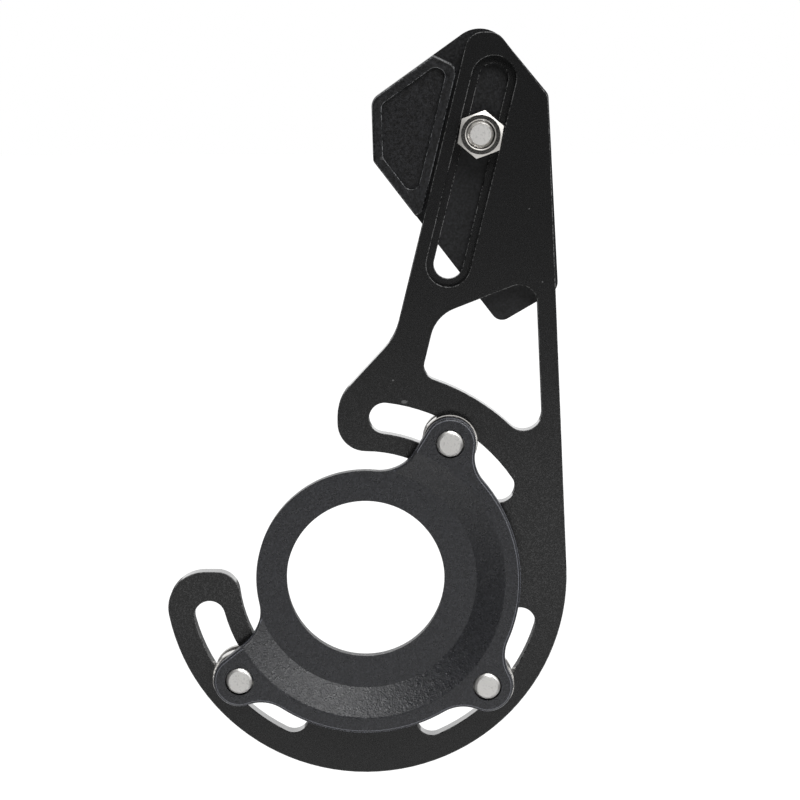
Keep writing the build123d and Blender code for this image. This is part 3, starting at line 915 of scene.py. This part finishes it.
def screws(name, node, body, count, circle_radius, centre):
    """Threaded screws in the place of a frame node."""
    sizes = bpy.context.scene.fastener_sizes
    low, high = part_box(node)
    values = {
        "Radius": sizes.diameter / 2, "Pitch": sizes.pitch, "Thread Depth": sizes.thread_depth,
        "Length": high.y - low.y - sizes.head_height, "Tip Chamfer": sizes.tip_chamfer,
        "Head Radius": sizes.head_diameter / 2, "Head Height": sizes.head_height,
        "Head Rim": sizes.head_rim, "Flat Radius": sizes.head_flat / 2, "Seat Gap": sizes.seat_gap,
        "Socket Width": sizes.socket_width, "Socket Depth": sizes.socket_depth,
        "Circle Radius": circle_radius, "First Angle": sizes.first_angle, "Angle Step": sizes.angle_step,
        "Count": count, "Centre": (centre[0], high.y - sizes.head_height, centre[1]),
        "Material": finish_material("dull_steel"),
    }
    grown(name, node, body, screw_tree(), values)


def rings(sizes):
    """Spacer rings behind the ears."""
    low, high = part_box("spacer_rings")
    values = {
        "Radius": sizes.ring_diameter / 2, "Hole Radius": sizes.ring_hole / 2,
        "Thickness": high.y - low.y, "Edge Round": sizes.ring_round,
        "Circle Radius": sizes.bolt_circle / 2, "First Angle": sizes.first_angle,
        "Angle Step": sizes.angle_step, "Count": sizes.ears, "Centre": (0.0, low.y, 0.0),
        "Material": finish_material("bright_steel"),
    }
    grown("ear_rings", "spacer_rings", "adapter", ring_tree(), values)


# Operators, one for each piece or group of like pieces

class GUIDE_OT_back_plate(bpy.types.Operator):
    """Anodise the back plate"""

    bl_idname = "guide.back_plate"
    bl_label = "Back plate"

    def execute(self, context):
        dress(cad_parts["back_plate"], "plate_black")
        return {"FINISHED"}


class GUIDE_OT_adapter(bpy.types.Operator):
    """Round and coat the bottom bracket adapter"""

    bl_idname = "guide.adapter"
    bl_label = "Bottom bracket adapter"

    def execute(self, context):
        dress(softened("bb_adapter", "adapter", CRISP_STEP), "adapter_black")
        return {"FINISHED"}


class GUIDE_OT_guide_halves(bpy.types.Operator):
    """Round and texture the two moulded halves of the guide"""

    bl_idname = "guide.guide_halves"
    bl_label = "Guide halves"

    def execute(self, context):
        for node in ("guide_inner", "guide_outer"):
            dress(softened(node, "guide", SOFT_STEP), "nylon_black")
        return {"FINISHED"}


class GUIDE_OT_screws(bpy.types.Operator):
    """Cut the threads of the ear screws and of the guide's bolt"""

    bl_idname = "guide.screws"
    bl_label = "Screws"

    def execute(self, context):
        sizes = context.scene.fastener_sizes
        screws("ear_screws", "adapter_screws", "adapter", sizes.ears, sizes.bolt_circle / 2, (0.0, 0.0))
        low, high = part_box("guide_bolt")
        middle = (low + high) / 2
        screws("guide_bolt_threaded", "guide_bolt", "guide", 1, 0.0, (middle.x, middle.z))
        return {"FINISHED"}


class GUIDE_OT_nut_and_rings(bpy.types.Operator):
    """Plate the nut and the spacer rings"""

    bl_idname = "guide.nut_and_rings"
    bl_label = "Nut and rings"

    def execute(self, context):
        dress(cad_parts["guide_nut"], "nut_steel")
        rings(context.scene.fastener_sizes)
        return {"FINISHED"}


class GUIDE_OT_studio(bpy.types.Operator):
    """Set the camera, the pale floor and the soft lights"""

    bl_idname = "guide.studio"
    bl_label = "Studio"

    def execute(self, context):
        sizes = context.scene.studio_sizes
        place_camera(sizes)
        lay_floor(sizes)
        key_sides = (sizes.key_side, sizes.key_side)
        softbox("key", sizes.key_place, sizes.aim, key_sides, sizes.key_power)
        flank_sides = (sizes.flank_side, sizes.flank_side)
        softbox("flank", sizes.flank_place, sizes.aim, flank_sides, sizes.flank_power)
        level = (0.0, 0.0, sizes.card_place[2])
        card_sides = (sizes.card_width, sizes.card_height)
        softbox("card", sizes.card_place, level, card_sides, sizes.card_power)
        light_world(sizes)
        return {"FINISHED"}


# Studio

FLOOR_SIDES = 96
FLOOR_PALE = (0.85, 0.85, 0.85)
FLOOR_DIM = (0.12, 0.12, 0.12)
POOL_FADE = 2.5
# Way to the bright surroundings, and spans along it and along the crank axis
RIGHT_SHARE, UP_SHARE = 0.6, 0.8
SLANT_SPAN = (-0.6, 0.6)
FRONT_SPAN = (-0.65, -0.30)
BACK_SPAN = (0.0, 0.5)


def place_camera(sizes):
    """Camera at the picture's view."""
    aim = Vector(sizes.aim)
    back = Vector((0.0, -math.cos(sizes.camera_elevation), math.sin(sizes.camera_elevation)))
    data = bpy.data.cameras.new("camera")
    data.sensor_width = sizes.sensor
    data.lens = sizes.focal_pixels / IMAGE_SIDE * sizes.sensor
    data.clip_start = 0.01
    camera = bpy.data.objects.new("camera", data)
    camera.location = aim + back * sizes.camera_distance
    camera.rotation_euler = (-back).to_track_quat("-Z", "Y").to_euler()
    bpy.context.scene.collection.objects.link(camera)
    bpy.context.scene.camera = camera


def lay_floor(sizes):
    """Pale round floor below the part, white to the camera, with a painted pool of light in its middle
    that throws light back onto the part.
    """
    shape = bmesh.new()
    bmesh.ops.create_circle(shape, cap_ends=True, segments=FLOOR_SIDES, radius=sizes.floor_radius)
    mesh = bpy.data.meshes.new("floor")
    shape.to_mesh(mesh)
    shape.free()
    mesh.transform(Matrix.Translation((0.0, 0.0, CAD_BOX[0].z - sizes.floor_drop)))
    material, tree, shader = new_material("pale_floor")
    place = add(tree, "ShaderNodeTexCoord").outputs["Object"]
    away = add(tree, "ShaderNodeVectorMath", {0: place}, operation="LENGTH").outputs["Value"]
    # Painted pool of light: the floor's colour is pale in the middle and dim further out
    shade = span(tree, away, sizes.floor_pool, POOL_FADE * sizes.floor_pool)
    paint = mix_colour(tree, shade, opaque(FLOOR_PALE), opaque(FLOOR_DIM))
    feed(tree, shader.inputs["Base Color"], paint)
    shader.inputs["Roughness"].default_value = 0.9
    shader.inputs["Emission Color"].default_value = (1.0, 1.0, 1.0, 1.0)
    seen = add(tree, "ShaderNodeLightPath").outputs["Is Camera Ray"]
    feed(tree, shader.inputs["Emission Strength"], seen)
    mesh.materials.append(material)
    floor = bpy.data.objects.new("floor", mesh)
    bpy.context.scene.collection.objects.link(floor)


def softbox(name, place, aim, sides, power):
    """Soft light of a given width and height, aimed at a point."""
    data = bpy.data.lights.new(name, "AREA")
    data.shape = "RECTANGLE"
    data.size, data.size_y = sides
    data.energy = power
    lamp = bpy.data.objects.new(name, data)
    lamp.location = place
    lamp.rotation_euler = (Vector(aim) - Vector(place)).to_track_quat("-Z", "Y").to_euler()
    bpy.context.scene.collection.objects.link(lamp)


def light_world(sizes):
    """Surroundings: dark round the camera, bright at the right and above, white behind the part."""
    world = bpy.data.worlds.new("studio")
    world.use_nodes = True
    tree = world.node_tree
    background = tree.nodes["Background"]
    direction = add(tree, "ShaderNodeTexCoord").outputs["Generated"]
    axes = add(tree, "ShaderNodeSeparateXYZ", {0: direction})
    slant = maths(tree, "ADD", maths(tree, "MULTIPLY", axes.outputs["X"], RIGHT_SHARE),
                  maths(tree, "MULTIPLY", axes.outputs["Z"], UP_SHARE))
    side = span(tree, slant, *SLANT_SPAN, sizes.shade_level, sizes.side_level)
    open_side = span(tree, axes.outputs["Y"], *FRONT_SPAN)
    behind = span(tree, axes.outputs["Y"], *BACK_SPAN)
    around = add(tree, "ShaderNodeMix", {"Factor": open_side, "A": sizes.front_level, "B": side})
    level = add(tree, "ShaderNodeMix", {"Factor": behind, "A": around.outputs[0], "B": sizes.back_level})
    seen = add(tree, "ShaderNodeLightPath").outputs["Is Camera Ray"]
    feed(tree, background.inputs["Color"], (1.0, 1.0, 1.0, 1.0))
    feed(tree, background.inputs["Strength"], maths(tree, "MAXIMUM", level.outputs[0], seen))
    bpy.context.scene.world = world
    bpy.context.scene.view_settings.view_transform = "Standard"


# Panel and registration

OPERATORS = (GUIDE_OT_back_plate, GUIDE_OT_adapter, GUIDE_OT_guide_halves, GUIDE_OT_screws,
             GUIDE_OT_nut_and_rings, GUIDE_OT_studio)


class GUIDE_PT_panel(bpy.types.Panel):
    """Lists the pieces of the chain guide and their settings"""

    bl_idname = "GUIDE_PT_panel"
    bl_label = "Chain Guide"
    bl_space_type = "VIEW_3D"
    bl_region_type = "UI"
    bl_category = "Chain Guide"

    def draw(self, context):
        for operator in OPERATORS:
            self.layout.operator(operator.bl_idname)
        for name, group in SETTINGS.items():
            box = self.layout.box()
            box.label(text=group.__doc__)
            for setting in group.__annotations__:
                box.prop(getattr(context.scene, name), setting)


def register():
    """Register the classes and the scene's settings."""
    for name, group in SETTINGS.items():
        bpy.utils.register_class(group)
        setattr(bpy.types.Scene, name, PointerProperty(type=group))
    for operator in OPERATORS:
        bpy.utils.register_class(operator)
    bpy.utils.register_class(GUIDE_PT_panel)


def unregister():
    """Take the classes and the scene's settings away again."""
    bpy.utils.unregister_class(GUIDE_PT_panel)
    for operator in reversed(OPERATORS):
        bpy.utils.unregister_class(operator)
    for name, group in SETTINGS.items():
        delattr(bpy.types.Scene, name)
        bpy.utils.unregister_class(group)


def main():
    """Dress the part."""
    register()
    bpy.ops.guide.back_plate()
    bpy.ops.guide.adapter()
    bpy.ops.guide.guide_halves()
    bpy.ops.guide.screws()
    bpy.ops.guide.nut_and_rings()
    bpy.ops.guide.studio()


if __name__ == "__main__":
    main()
